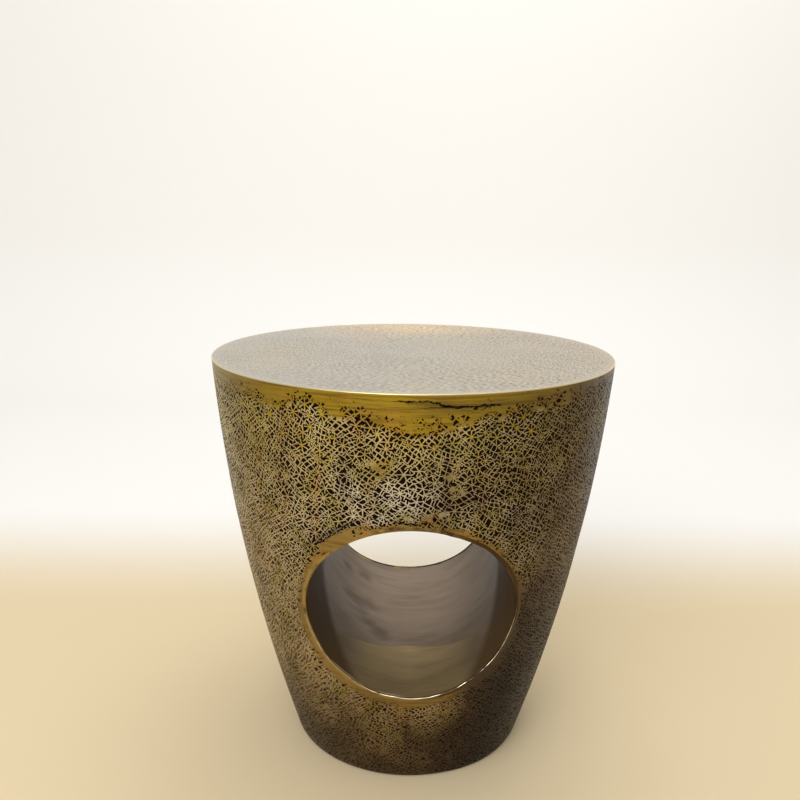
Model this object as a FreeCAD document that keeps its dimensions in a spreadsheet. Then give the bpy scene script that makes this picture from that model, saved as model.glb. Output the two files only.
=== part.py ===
# Drum side table of etched sheet metal: a bulged, tapering side, a flat top and an oval
# tunnel from front to rear. Z is up, the floor is at Z = 0, the tunnel runs along Y and
# the front faces -Y. All sizes are in millimetres.

import FreeCAD, Part
import math
import os
import Sketcher

SIZES = [
    ("overall_height", 462, "floor to table top"),
    ("top_diameter", 457, "outside of the drum at the table top"),
    ("base_diameter", 272, "outside of the drum at its bottom edge"),
    ("wall_bend_radius", 1976, "radius of the arc that the side bulges along, base to top"),
    ("body_wall", 1.2, "sheet of the side and of the top's flange"),
    ("top_thickness", 1.5, "sheet of the table top"),
    ("flange_depth", 13, "turned-down edge of the table top"),
    ("rim_chamfer", 1, "ground corner around the table top"),
    ("tunnel_height", 204, "clear height of the tunnel"),
    ("tunnel_flat", 15, "flat stretch at the tunnel's top and bottom, which makes it wider than high"),
    ("tunnel_drop", 9, "how far the tunnel's axis lies below half the table's height"),
    ("sleeve_wall", 1.2, "sheet of the tunnel sleeve"),
    ("lip_width", 8, "smooth lip around each opening, across"),
    ("lip_height", 1.5, "how far a lip stands out from the side"),
    ("fit_gap", 0.2, "clearance between curved faces that are welded together"),
    ("seam_gap", 0.5, "clearance behind the long seam beads of the side"),
    ("tack_leg", 3, "how far a tack weld reaches along each face that it joins"),
    ("tack_length", 12, "length of one straight tack weld"),
    ("bead_thickness", 1.2, "height of the flat seam beads"),
    ("bead_width", 6, "width of the flat seam beads"),
    ("rim_tack_angle", 4, "arc of one tack weld behind the top's flange, in degrees"),
    ("ring_width", 22, "flat base ring, across"),
    ("ring_thickness", 3, "flat base ring, sheet"),
    ("ring_tack_angle", 6, "arc of one tack weld on the base ring, in degrees"),
    ("bar_width", 20, "flat bars under the table top, across"),
    ("bar_thickness", 3, "flat bars under the table top, sheet"),
    ("bar_end_gap", 6, "from a bar's end to the flange"),
    ("bar_tack_radius", 150, "table axis to the tack welds on the bars"),
    ("foot_height", 2, "rubber pad"),
    ("foot_diameter", 18, "rubber pad, across"),
]
WALL_BANDS = 5
FOOT_COUNT = 4
RIM_TACK_COUNT = 8
RING_TACK_COUNT = 6
BAR_ARM_COUNT = 4

doc = FreeCAD.newDocument("drum_side_table")
sheet = doc.addObject("Spreadsheet::Sheet", "sizes")
for row, (alias, size, meaning) in enumerate(SIZES, start=1):
    sheet.set(f"A{row}", meaning)
    sheet.set(f"B{row}", str(size))
    sheet.setAlias(f"B{row}", alias)
doc.recompute()

# How a sketch numbers the points of a line or arc, its own origin and its upright axis.
START, END, CENTER = range(1, 4)
VERTICAL_AXIS, HORIZONTAL_AXIS = range(-2, 0)
ORIGIN = (HORIZONTAL_AXIS, START)

# Heights and insets that several pieces share. An inset is measured inwards from the
# outside of the wall, square to it.
SEAM_HEIGHT = "sizes.overall_height - sizes.flange_depth"
WALL_INSIDE = "sizes.body_wall + sizes.fit_gap"
TACK_INSIDE = f"{WALL_INSIDE} + sizes.tack_leg"
SEAM_INSIDE = "sizes.body_wall + sizes.seam_gap"
SLEEVE_OUTSIDE = "sizes.sleeve_wall + sizes.fit_gap"
TOP_UNDERSIDE = "sizes.overall_height - sizes.top_thickness"
RING_TOP = "sizes.foot_height + sizes.ring_thickness"
TUNNEL_LEVEL = "(sizes.overall_height / 2 - sizes.tunnel_drop)"
SLEEVE_RISE = f"(sizes.tunnel_height / 2 + {SLEEVE_OUTSIDE})"
SLEEVE_SIDE = f"(sizes.tunnel_flat / 2 + {SLEEVE_RISE})"

# The side follows its curve in straight bands, and every piece that fits it has the same bands.
SIDE_HEIGHTS = [
    f"sizes.foot_height + ({SEAM_HEIGHT} - sizes.foot_height) * {i} / {WALL_BANDS}"
    for i in range(WALL_BANDS + 1)
]
WALL_HEIGHTS = SIDE_HEIGHTS + ["sizes.overall_height"]


def number(expression):
    """Work out an expression of sizes."""
    return float(sheet.evalExpression(expression))


def new_body(label):
    """Start a sub-part that is named after its node."""
    body = doc.addObject("PartDesign::Body", label)
    body.Label = label
    return body


def origin_feature(body, role):
    """Find a body's own origin plane or axis."""
    return next(item for item in body.Origin.OriginFeatures if item.Role == role)


def new_sketch(body, name, role="XZ_Plane"):
    """Start a sketch on one of a body's own origin planes."""
    sketch = body.newObject("Sketcher::SketchObject", f"{body.Name}_{name}")
    sketch.AttachmentSupport = [(origin_feature(body, role), "")]
    sketch.MapMode = "FlatFace"
    return sketch


def bind(sketch, expression, constraint):
    """Add a dimension to a sketch and tie it to the sheet."""
    index = sketch.addConstraint(constraint)
    sketch.setExpression(f"Constraints[{index}]", expression)


def bind_offset(sketch, kind, first, second, expression):
    """Tie the offset between two points, DistanceX or DistanceY, to the sheet."""
    step = sketch.getPoint(*second) - sketch.getPoint(*first)
    now = step.x if kind == "DistanceX" else step.y
    bind(sketch, expression, Sketcher.Constraint(kind, *first, *second, now))


def join(sketch, first, second):
    """Draw a line between two points of a sketch."""
    line = sketch.addGeometry(Part.LineSegment(sketch.getPoint(*first), sketch.getPoint(*second)))
    sketch.addConstraint(Sketcher.Constraint("Coincident", line, START, *first))
    sketch.addConstraint(Sketcher.Constraint("Coincident", line, END, *second))
    return line


def wall_arc():
    """Work out the circle that the side bulges along, from its two edges and its bend."""
    low = FreeCAD.Vector(number("sizes.base_diameter / 2"), number("sizes.foot_height"), 0)
    high = FreeCAD.Vector(number("sizes.top_diameter / 2"), number("sizes.overall_height"), 0)
    chord = high - low
    radius = number("sizes.wall_bend_radius")
    inwards = FreeCAD.Vector(-chord.y, chord.x, 0) / chord.Length
    center = (low + high) / 2 + inwards * math.sqrt(radius**2 - (chord.Length / 2) ** 2)
    circle = Part.Circle(center, FreeCAD.Vector(0, 0, 1), radius)
    angles = [math.atan2(point.y - center.y, point.x - center.x) for point in (low, high)]
    return Part.ArcOfCircle(circle, *angles)


def add_wall(sketch):
    """Draw the outside of the wall as a construction line and return its index."""
    wall = sketch.addGeometry(wall_arc(), True)
    bind_offset(sketch, "DistanceX", ORIGIN, (wall, START), "sizes.base_diameter / 2")
    bind_offset(sketch, "DistanceY", ORIGIN, (wall, START), "sizes.foot_height")
    bind_offset(sketch, "DistanceX", ORIGIN, (wall, END), "sizes.top_diameter / 2")
    bind_offset(sketch, "DistanceY", ORIGIN, (wall, END), "sizes.overall_height")
    radius = number("sizes.wall_bend_radius")
    bind(sketch, "sizes.wall_bend_radius", Sketcher.Constraint("Radius", wall, radius))
    return wall


def add_wall_line(sketch, wall, inset, heights):
    """Draw straight bands along the wall at an inset, and return the two ends of their run."""
    radius = f"sizes.wall_bend_radius - ({inset})"
    center = wall_arc().Center
    curve = Part.Circle(center, FreeCAD.Vector(0, 0, 1), number(radius))
    guide = sketch.addGeometry(curve, True)
    sketch.addConstraint(Sketcher.Constraint("Coincident", guide, CENTER, wall, CENTER))
    bind(sketch, radius, Sketcher.Constraint("Radius", guide, curve.Radius))
    levels = [number(height) for height in heights]
    reaches = [center.x + math.sqrt(curve.Radius**2 - (level - center.y) ** 2) for level in levels]
    points = [FreeCAD.Vector(reach, level, 0) for reach, level in zip(reaches, levels)]
    lines = [sketch.addGeometry(Part.LineSegment(*ends)) for ends in zip(points, points[1:])]
    for line, following in zip(lines, lines[1:]):
        sketch.addConstraint(Sketcher.Constraint("Coincident", line, END, following, START))
    corners = [(lines[0], START)] + [(line, END) for line in lines]
    for corner, height in zip(corners, heights):
        sketch.addConstraint(Sketcher.Constraint("PointOnObject", *corner, guide))
        bind_offset(sketch, "DistanceY", ORIGIN, corner, height)
    return corners[0], corners[-1]


def revolve(body, kind, sketch):
    """Turn a sketch about the table's axis."""
    turned = body.newObject(f"PartDesign::{kind}", f"{sketch.Name}_{kind.lower()}")
    turned.Profile = sketch
    turned.ReferenceAxis = (sketch, ["V_Axis"])
    turned.Angle = 360
    return turned


def trim_to_wall(body, side, inset):
    """Cut away what lies outside or inside of a line along the wall."""
    sketch = new_sketch(body, f"trim_{side}")
    wall = add_wall(sketch)
    ends = add_wall_line(sketch, wall, inset, WALL_HEIGHTS)
    reach = number("2 * sizes.top_diameter") if side == "outside" else 0
    points = [FreeCAD.Vector(reach, sketch.getPoint(*end).y, 0) for end in ends]
    edge = sketch.addGeometry(Part.LineSegment(*points))
    if side == "outside":
        bind_offset(sketch, "DistanceX", ORIGIN, (edge, START), "2 * sizes.top_diameter")
        sketch.addConstraint(Sketcher.Constraint("Vertical", edge))
    else:
        sketch.addConstraint(Sketcher.Constraint("PointOnObject", edge, START, VERTICAL_AXIS))
        sketch.addConstraint(Sketcher.Constraint("PointOnObject", edge, END, VERTICAL_AXIS))
    for end, point in zip(ends, (START, END)):
        line = join(sketch, end, (edge, point))
        sketch.addConstraint(Sketcher.Constraint("Horizontal", line))
    return revolve(body, "Groove", sketch)


def add_oval(sketch, grow):
    """Draw the tunnel's outline, two half circles and two flats, larger all round by an amount."""
    radius = f"sizes.tunnel_height / 2 + {grow}"
    arcs = []
    for side in (1, -1):
        center = FreeCAD.Vector(side * number("sizes.tunnel_flat / 2"), number(TUNNEL_LEVEL), 0)
        circle = Part.Circle(center, FreeCAD.Vector(0, 0, 1), number(radius))
        first = -side * math.pi / 2
        arcs.append(sketch.addGeometry(Part.ArcOfCircle(circle, first, first + math.pi)))
    right, left = arcs
    for arc, following in ((right, left), (left, right)):
        ends = sketch.getPoint(arc, END), sketch.getPoint(following, START)
        flat = sketch.addGeometry(Part.LineSegment(*ends))
        sketch.addConstraint(Sketcher.Constraint("Tangent", arc, END, flat, START))
        sketch.addConstraint(Sketcher.Constraint("Tangent", flat, END, following, START))
    sketch.addConstraint(Sketcher.Constraint("Equal", right, left))
    sketch.addConstraint(
        Sketcher.Constraint("Symmetric", right, CENTER, left, CENTER, VERTICAL_AXIS)
    )
    bind(sketch, radius, Sketcher.Constraint("Radius", right, number(radius)))
    bind_offset(sketch, "DistanceX", ORIGIN, (right, CENTER), "sizes.tunnel_flat / 2")
    bind_offset(sketch, "DistanceY", ORIGIN, (right, CENTER), TUNNEL_LEVEL)


def raise_along_tunnel(body, sketch, direction):
    """Pad an upright sketch along the tunnel: to the front, to the rear or both ways."""
    pad = body.newObject("PartDesign::Pad", f"{body.Name}_pad")
    pad.Profile = sketch
    pad.SideType = "Symmetric" if direction == "both" else "One side"
    pad.Reversed = direction == "rear"
    pad.setExpression("Length", "2 * sizes.top_diameter" if direction == "both" else "sizes.top_diameter")


def oval_ring(body, inner, outer, direction):
    """Raise a ring along the tunnel, between two outlines."""
    sketch = new_sketch(body, "oval_ring")
    add_oval(sketch, inner)
    add_oval(sketch, outer)
    raise_along_tunnel(body, sketch, direction)


def add_outline(sketch, corners):
    """Draw a closed run of lines through corners that expressions of sizes place."""
    points = [FreeCAD.Vector(number(x), number(y), 0) for x, y in corners]
    pairs = zip(points, points[1:] + points[:1])
    lines = [sketch.addGeometry(Part.LineSegment(*ends)) for ends in pairs]
    for line, following, (x, y) in zip(lines, lines[1:] + lines[:1], corners):
        sketch.addConstraint(Sketcher.Constraint("Coincident", line, END, following, START))
        bind_offset(sketch, "DistanceX", ORIGIN, (line, START), x)
        bind_offset(sketch, "DistanceY", ORIGIN, (line, START), y)


def add_rectangle(sketch, left, right, low, high):
    """Draw an upright rectangle."""
    add_outline(sketch, [(left, low), (right, low), (right, high), (left, high)])


def repeat_round(body, feature, count):
    """Repeat a body's last feature evenly about the table's axis."""
    body.AllowCompound = True
    pattern = body.newObject("PartDesign::PolarPattern", f"{body.Name}_pattern")
    pattern.Originals = [feature]
    pattern.Axis = (origin_feature(body, "Z_Axis"), [""])
    pattern.Angle = 360
    pattern.Occurrences = count
    body.Tip = pattern


def tack_ring(label, inner, heights, angle, count):
    """Weld a ring of equal tacks to the inside of the wall."""
    body = new_body(label)
    section = new_sketch(body, "section")
    add_rectangle(section, "sizes.base_diameter / 4", "sizes.top_diameter / 2", *heights)
    tack = revolve(body, "Revolution", section)
    tack.setExpression("Angle", angle)
    repeat_round(body, tack, count)
    trim_to_wall(body, "outside", WALL_INSIDE)
    trim_to_wall(body, "inside", inner)


# The side sheet, with one oval cut right through for the sleeve.
body_shell = new_body("body_shell")
shell_section = new_sketch(body_shell, "section")
shell_wall = add_wall(shell_section)
shell_outside = add_wall_line(shell_section, shell_wall, "0", SIDE_HEIGHTS)
shell_inside = add_wall_line(shell_section, shell_wall, "sizes.body_wall", SIDE_HEIGHTS)
for edge in zip(shell_outside, shell_inside):
    join(shell_section, *edge)
revolve(body_shell, "Revolution", shell_section)
cut_out = new_sketch(body_shell, "cut_out")
add_oval(cut_out, SLEEVE_OUTSIDE)
tunnel_cut = body_shell.newObject("PartDesign::Pocket", "body_shell_tunnel_cut")
tunnel_cut.Profile = cut_out
tunnel_cut.Type = "ThroughAll"
tunnel_cut.SideType = "Symmetric"

# The table top, a shallow pan whose flange carries the line of the side on.
top_pan = new_body("top_pan")
pan_section = new_sketch(top_pan, "section")
pan_wall = add_wall(pan_section)
pan_skirt, pan_rim = add_wall_line(pan_section, pan_wall, "0", [SEAM_HEIGHT, "sizes.overall_height"])
inner_skirt, inner_corner = add_wall_line(
    pan_section, pan_wall, "sizes.body_wall", [SEAM_HEIGHT, TOP_UNDERSIDE]
)
pan_levels = [FreeCAD.Vector(0, number(height), 0) for height in (TOP_UNDERSIDE, "sizes.overall_height")]
pan_axis = pan_section.addGeometry(Part.LineSegment(*pan_levels))
join(pan_section, pan_skirt, inner_skirt)
for corner, end in ((inner_corner, START), (pan_rim, END)):
    pan_section.addConstraint(Sketcher.Constraint("PointOnObject", pan_axis, end, VERTICAL_AXIS))
    face = join(pan_section, corner, (pan_axis, end))
    pan_section.addConstraint(Sketcher.Constraint("Horizontal", face))
pan_turned = revolve(top_pan, "Revolution", pan_section)
doc.recompute()
rim_level = number("sizes.overall_height - sizes.rim_chamfer / 2")
rim_edges = [
    f"Edge{i}" for i, edge in enumerate(pan_turned.Shape.Edges, start=1) if edge.BoundBox.ZMin > rim_level
]
rim_corner = top_pan.newObject("PartDesign::Chamfer", "top_pan_rim_corner")
rim_corner.Base = (pan_turned, rim_edges)
rim_corner.setExpression("Size", "sizes.rim_chamfer")

# The rolled sleeve, trimmed to the side's outer face at both ends.
tunnel_sleeve = new_body("tunnel_sleeve")
oval_ring(tunnel_sleeve, "0", "sizes.sleeve_wall", "both")
trim_to_wall(tunnel_sleeve, "outside", "0")

# A ground lip over the joint of sleeve and side, and four tacks behind it, at both ends.
TACK_HALF = "sizes.tack_length / 2"
for end in ("front", "rear"):
    lip = new_body(f"{end}_lip")
    oval_ring(lip, "0", "sizes.lip_width", end)
    trim_to_wall(lip, "inside", "-sizes.fit_gap")
    trim_to_wall(lip, "outside", "-sizes.fit_gap - sizes.lip_height")

    sleeve_tacks = new_body(f"{end}_sleeve_tacks")
    sleeve_tacks.AllowCompound = True
    tack_plan = new_sketch(sleeve_tacks, "plan")
    for sign in ("", "-"):
        near, far = f"{sign}{SLEEVE_RISE}", f"{sign}({SLEEVE_RISE} + sizes.tack_leg)"
        levels = f"{TUNNEL_LEVEL} + {near}", f"{TUNNEL_LEVEL} + {far}"
        add_rectangle(tack_plan, f"-{TACK_HALF}", TACK_HALF, *levels)
        near, far = f"{sign}{SLEEVE_SIDE}", f"{sign}({SLEEVE_SIDE} + sizes.tack_leg)"
        add_rectangle(tack_plan, near, far, f"{TUNNEL_LEVEL} - {TACK_HALF}", f"{TUNNEL_LEVEL} + {TACK_HALF}")
    raise_along_tunnel(sleeve_tacks, tack_plan, end)
    trim_to_wall(sleeve_tacks, "outside", WALL_INSIDE)
    trim_to_wall(sleeve_tacks, "inside", TACK_INSIDE)

# Tack welds behind the joint of flange and side.
RIM_TACK_HEIGHTS = [f"{SEAM_HEIGHT} - sizes.bead_width / 2", f"{SEAM_HEIGHT} + sizes.bead_width / 2"]
RIM_TACK_INSIDE = f"{WALL_INSIDE} + sizes.bead_thickness"
tack_ring("rim_tacks", RIM_TACK_INSIDE, RIM_TACK_HEIGHTS, "sizes.rim_tack_angle", RIM_TACK_COUNT)

# The side's closing seam at the rear, above and below the opening.
TACKS_REACH = f"({SLEEVE_RISE} + sizes.tack_leg + sizes.fit_gap)"
SEAM_SPANS = {
    "upper": (f"{TUNNEL_LEVEL} + {TACKS_REACH}", f"{RIM_TACK_HEIGHTS[0]} - sizes.fit_gap"),
    "lower": (f"{RING_TOP} + sizes.fit_gap", f"{TUNNEL_LEVEL} - {TACKS_REACH}"),
}
BEAD_HALF = "sizes.bead_width / 2"
for name, span in SEAM_SPANS.items():
    seam = new_body(f"{name}_seam_weld")
    strip = new_sketch(seam, "strip")
    add_rectangle(strip, f"-{BEAD_HALF}", BEAD_HALF, *span)
    raise_along_tunnel(seam, strip, "rear")
    trim_to_wall(seam, "outside", SEAM_INSIDE)
    trim_to_wall(seam, "inside", f"{SEAM_INSIDE} + sizes.bead_thickness")

# The sleeve's closing seam, along its underside between the tacks at its two ends.
sleeve_seam = new_body("sleeve_seam_weld")
sleeve_strip = new_sketch(sleeve_seam, "strip")
SLEEVE_BOTTOM = f"{TUNNEL_LEVEL} - {SLEEVE_RISE}"
add_rectangle(
    sleeve_strip, f"-{BEAD_HALF}", BEAD_HALF, f"{SLEEVE_BOTTOM} - sizes.bead_thickness", SLEEVE_BOTTOM
)
raise_along_tunnel(sleeve_seam, sleeve_strip, "both")
trim_to_wall(sleeve_seam, "outside", f"{TACK_INSIDE} + sizes.fit_gap")

# The flat ring inside the bottom edge, and its tack welds.
base_ring = new_body("base_ring")
ring_plan = new_sketch(base_ring, "plan", "XY_Plane")
RING_BORE = f"sizes.base_diameter / 2 - ({WALL_INSIDE}) - sizes.ring_width"
for radius in (RING_BORE, "sizes.base_diameter"):
    round_edge = Part.Circle(FreeCAD.Vector(), FreeCAD.Vector(0, 0, 1), number(radius))
    circle = ring_plan.addGeometry(round_edge)
    ring_plan.addConstraint(Sketcher.Constraint("Coincident", circle, CENTER, *ORIGIN))
    bind(ring_plan, radius, Sketcher.Constraint("Radius", circle, round_edge.Radius))
ring_plan.setExpression("AttachmentOffset.Base.z", "sizes.foot_height")
ring_pad = base_ring.newObject("PartDesign::Pad", "base_ring_pad")
ring_pad.Profile = ring_plan
ring_pad.setExpression("Length", "sizes.ring_thickness")
trim_to_wall(base_ring, "outside", WALL_INSIDE)

RING_TACK_HEIGHTS = [RING_TOP, f"{RING_TOP} + sizes.tack_leg"]
tack_ring("base_ring_tacks", TACK_INSIDE, RING_TACK_HEIGHTS, "sizes.ring_tack_angle", RING_TACK_COUNT)

# Flat bars in a cross under the table top: one whole bar and two halves that butt on it.
BAR_BOTTOM = f"{TOP_UNDERSIDE} - sizes.bar_thickness"
BAR_REACH = "(sizes.top_diameter / 2 - sizes.body_wall - sizes.bar_end_gap)"
BAR_BOXES = {
    "top_cross_bar": (f"2 * {BAR_REACH}", "sizes.bar_width", f"-{BAR_REACH}", "-sizes.bar_width / 2"),
    "top_side_bar_front": (
        "sizes.bar_width",
        f"{BAR_REACH} - sizes.bar_width / 2",
        "-sizes.bar_width / 2",
        f"-{BAR_REACH}",
    ),
    "top_side_bar_rear": (
        "sizes.bar_width",
        f"{BAR_REACH} - sizes.bar_width / 2",
        "-sizes.bar_width / 2",
        "sizes.bar_width / 2",
    ),
}
for label, (length, width, left, front) in BAR_BOXES.items():
    bar = doc.addObject("Part::Box", label)
    bar.Label = label
    bar.setExpression("Length", length)
    bar.setExpression("Width", width)
    bar.setExpression("Height", "sizes.bar_thickness")
    bar.setExpression("Placement.Base.x", left)
    bar.setExpression("Placement.Base.y", front)
    bar.setExpression("Placement.Base.z", BAR_BOTTOM)

bar_tacks = new_body("bar_tacks")
tack_ends = new_sketch(bar_tacks, "ends", "YZ_Plane")
tack_ends.setExpression("AttachmentOffset.Base.z", "sizes.bar_tack_radius")
for sign in ("", "-"):
    bar_side = f"{sign}sizes.bar_width / 2"
    corners = [
        (bar_side, TOP_UNDERSIDE),
        (f"{sign}(sizes.bar_width / 2 + sizes.tack_leg)", TOP_UNDERSIDE),
        (bar_side, f"{TOP_UNDERSIDE} - sizes.tack_leg"),
    ]
    add_outline(tack_ends, corners)
bar_tack = bar_tacks.newObject("PartDesign::Pad", "bar_tack")
bar_tack.Profile = tack_ends
bar_tack.setExpression("Length", "sizes.tack_length")
repeat_round(bar_tacks, bar_tack, BAR_ARM_COUNT)

# Low rubber pads under the base ring, on the two diagonals.
FOOT_PITCH = f"(sizes.base_diameter / 2 - ({WALL_INSIDE}) - sizes.ring_width / 2)"
pads = []
for i in range(FOOT_COUNT):
    angle = (i + 0.5) * 360 / FOOT_COUNT
    pad = doc.addObject("Part::Cylinder", f"foot_pad_{i + 1}")
    pad.setExpression("Radius", "sizes.foot_diameter / 2")
    pad.setExpression("Height", "sizes.foot_height")
    pad.setExpression("Placement.Base.x", f"{FOOT_PITCH} * cos({angle} deg)")
    pad.setExpression("Placement.Base.y", f"{FOOT_PITCH} * sin({angle} deg)")
    pads.append(pad)
foot_pads = doc.addObject("Part::Compound", "foot_pads")
foot_pads.Label = "foot_pads"
foot_pads.Links = pads

NODES = [
    "body_shell",
    "top_pan",
    "tunnel_sleeve",
    "front_lip",
    "rear_lip",
    "rim_tacks",
    "front_sleeve_tacks",
    "rear_sleeve_tacks",
    "upper_seam_weld",
    "lower_seam_weld",
    "sleeve_seam_weld",
    "base_ring",
    "base_ring_tacks",
    "top_cross_bar",
    "top_side_bar_front",
    "top_side_bar_rear",
    "bar_tacks",
    "foot_pads",
]

doc.recompute()
failed = [item.Name for item in doc.Objects if {"Invalid", "Error"} & set(item.State)]
if failed:
    raise RuntimeError(f"these objects did not build: {failed}")

parts = [doc.getObjectsByLabel(label)[0] for label in NODES]
for part in parts:
    if part.Shape.isNull() or not part.Shape.isValid() or not part.Shape.Solids:
        raise RuntimeError(f"{part.Label} has no sound solid")

os.makedirs("parts", exist_ok=True)
for part in parts:
    part.Shape.exportStep(f"parts/{part.Label}.step")
    box = part.Shape.BoundBox
    print(
        f"{part.Label}: {len(part.Shape.Solids)} solids, {part.Shape.Volume:.0f} mm3,",
        f"Z {box.ZMin:.2f} to {box.ZMax:.2f}, X {box.XLength:.1f}, Y {box.YMin:.1f} to {box.YMax:.1f}",
    )
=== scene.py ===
import math

import bpy
import numpy as np
from mathutils import Matrix, Vector, noise


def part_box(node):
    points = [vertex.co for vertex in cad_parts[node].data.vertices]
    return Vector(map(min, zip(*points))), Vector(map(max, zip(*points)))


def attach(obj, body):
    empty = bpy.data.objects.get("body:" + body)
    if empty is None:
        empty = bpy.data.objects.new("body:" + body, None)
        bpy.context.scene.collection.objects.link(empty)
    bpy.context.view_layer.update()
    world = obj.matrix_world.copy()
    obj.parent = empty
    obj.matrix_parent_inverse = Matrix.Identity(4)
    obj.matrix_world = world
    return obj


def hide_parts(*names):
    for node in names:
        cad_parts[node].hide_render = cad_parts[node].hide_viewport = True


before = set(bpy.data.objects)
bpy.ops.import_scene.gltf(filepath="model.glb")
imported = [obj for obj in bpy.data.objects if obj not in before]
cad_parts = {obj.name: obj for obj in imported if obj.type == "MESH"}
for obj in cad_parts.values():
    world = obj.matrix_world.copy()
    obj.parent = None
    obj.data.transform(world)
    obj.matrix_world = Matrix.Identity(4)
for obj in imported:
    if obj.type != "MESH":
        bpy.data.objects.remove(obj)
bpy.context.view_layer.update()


# Side: one sheet with a brass finish, rolled and bulged into a drum that is wider at the top and closed by
# a seam at the rear. Straw-like strokes stand out of its etched, blackened ground, and the metal is rubbed
# bare along the rim and around the two openings.
# Painted shade darkens the side low down, on the right and along the crease, and a painted reflection pales
# its strokes over the front opening.
BASE_RADIUS = 0.136
TOP_RADIUS = 0.2285
SHOULDER_RADIUS = 0.222
PATTERN_SHRINK = 0.5
BULGE_RADIUS = 1.976
SHEET_THICKNESS = 0.0012
BASE_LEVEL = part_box("body_shell")[0].z
SEAM_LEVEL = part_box("body_shell")[1].z
TOP_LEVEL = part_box("top_pan")[1].z
TUNNEL_LEVEL = (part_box("tunnel_sleeve")[0].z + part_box("tunnel_sleeve")[1].z) / 2
TUNNEL_HALF_WIDTH = 0.1095
TUNNEL_HALF_HEIGHT = 0.102
SIDE_COLUMNS = 400
SIDE_ROWS = 124
SEAM_HALF_ANGLE = 0.0005
HEM_HEIGHT = 0.005
HEM_DEPTH = 0.0012
SIDE_UNEVENNESS = 0.0005
SIDE_WAVELENGTH = 0.07
CREASE_TURN = -37
CREASE_HALF_TURN = 13
CREASE_HEIGHT = 0.0014
CREASE_REACH = (0.010, 0.019)
CREASE_BARE_REACH = (0.011, 0.017)
CREASE_SHADE_REACH = 0.018
CREASE_SHADE_HALF_WIDTH = 0.003
LIP_BARE_REACH = (0.002, 0.012)
LIP_RAGGEDNESS = 0.003
RIM_BARE_DEPTH = 0.013
RIM_RAGGEDNESS = 0.008
RIM_WEAR = (
    {"amount": 0.016, "middle_angle": 1, "middle_level": TOP_LEVEL, "half_angle": 13, "half_height": 1},
    {"amount": -0.006, "middle_angle": -27, "middle_level": TOP_LEVEL, "half_angle": 7, "half_height": 1},
    {"amount": -0.009, "middle_angle": 65, "middle_level": TOP_LEVEL, "half_angle": 30, "half_height": 1},
)
BARE_OVER_OPENING = {
    "middle_angle": 5,
    "middle_level": TUNNEL_LEVEL + TUNNEL_HALF_HEIGHT + 0.012,
    "half_angle": 6,
    "half_height": 0.012,
}
BARE_PATCH_LEVELS = (0.30, 0.36)
SHADED_FOOT_HEIGHT = 0.17
DARKER_FLANK_TURNS = (10, 60)
DARKER_REAR_TURNS = (100, 170)
SHADED_RIGHT_TURNS = (-4, 42)
RIGHT_END_TURNS = (110, 170)
SHADED_LOWER_RIGHT_TURNS = (5, 40)
SHADED_LOWER_RIGHT_LEVELS = (0.13, 0.27)
BLACK_STREAKS = (
    {"amount": 0.45, "middle_angle": 3, "middle_level": 0.365, "half_angle": 15, "half_height": 0.045},
    {"amount": 0.6, "middle_angle": 8.2, "middle_level": 0.38, "half_angle": 0.8, "half_height": 0.045},
    {"amount": 0.5, "middle_angle": -0.7, "middle_level": 0.075, "half_angle": 1.4, "half_height": 0.025},
    {"amount": 0.6, "middle_angle": -18, "middle_level": 0.375, "half_angle": 1.6, "half_height": 0.035},
    {"amount": 0.7, "middle_angle": 9, "middle_level": SEAM_LEVEL, "half_angle": 11, "half_height": 0.006},
)
PALE_REFLECTION_PATCH = {"middle_angle": -8, "middle_level": 0.352, "half_angle": 20, "half_height": 0.042}
LOOSE_LEVELS = (0.22, 0.34)
LOOSE_TURNS = (25, 60)

chord = Vector((TOP_RADIUS - BASE_RADIUS, TOP_LEVEL - BASE_LEVEL))
chord_middle = Vector((TOP_RADIUS + BASE_RADIUS, TOP_LEVEL + BASE_LEVEL)) / 2
to_bulge_center = Vector((-chord.y, chord.x)).normalized()
bulge_center = chord_middle + to_bulge_center * math.sqrt(BULGE_RADIUS ** 2 - chord.length_squared / 4)


def wall_radius(level):
    """Radius of the bulged side at a height."""
    return bulge_center.x + np.sqrt(BULGE_RADIUS ** 2 - (level - bulge_center.y) ** 2)


def unevenness(points, wavelength, seed):
    """Soft random swell between about -1 and 1 at each point, always the same for one seed."""
    shift = Vector((seed * 17.3, seed * 5.1, seed * 9.7))
    return np.array([noise.noise(Vector(point) / wavelength + shift) for point in points])


def tunnel_share(x, level):
    """Place in the front view as a share of the oval opening: 1 on its edge, and never quite 0."""
    share = np.hypot(x / TUNNEL_HALF_WIDTH, (level - TUNNEL_LEVEL) / TUNNEL_HALF_HEIGHT)
    return np.maximum(share, 0.01)


def tunnel_clearance(x, level):
    """How far a place in the front view lies outside the oval opening, measured from its centre."""
    return (1 - 1 / tunnel_share(x, level)) * np.hypot(x, level - TUNNEL_LEVEL)


def smooth_step(value, low, high):
    """Rises softly from 0 at low to 1 at high."""
    share = np.clip((value - low) / (high - low), 0, 1)
    return share * share * (3 - 2 * share)


def spot(angle, level, middle_angle, middle_level, half_angle, half_height, amount=1):
    """Soft round patch on a sheet, strongest in its middle; the middle and half angles are in degrees."""
    across = (np.degrees(angle) - middle_angle) / half_angle
    upward = (level - middle_level) / half_height
    return amount * np.exp(-across ** 2 - upward ** 2)


def flat_pattern(angle, level):
    """Place in mm on the unrolled cone of the side, drawn together so that the etching is finer low."""
    slant = chord.x / chord.length
    shoulder_reach = SHOULDER_RADIUS / slant
    reach = BASE_RADIUS / slant + (level - BASE_LEVEL) * chord.length / chord.y
    drawn_reach = shoulder_reach * (reach / shoulder_reach) ** PATTERN_SHRINK / PATTERN_SHRINK
    drawn_turn = angle * slant * PATTERN_SHRINK
    return np.stack([drawn_reach * np.sin(drawn_turn), drawn_reach * np.cos(drawn_turn)], axis=-1) * 1000


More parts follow.
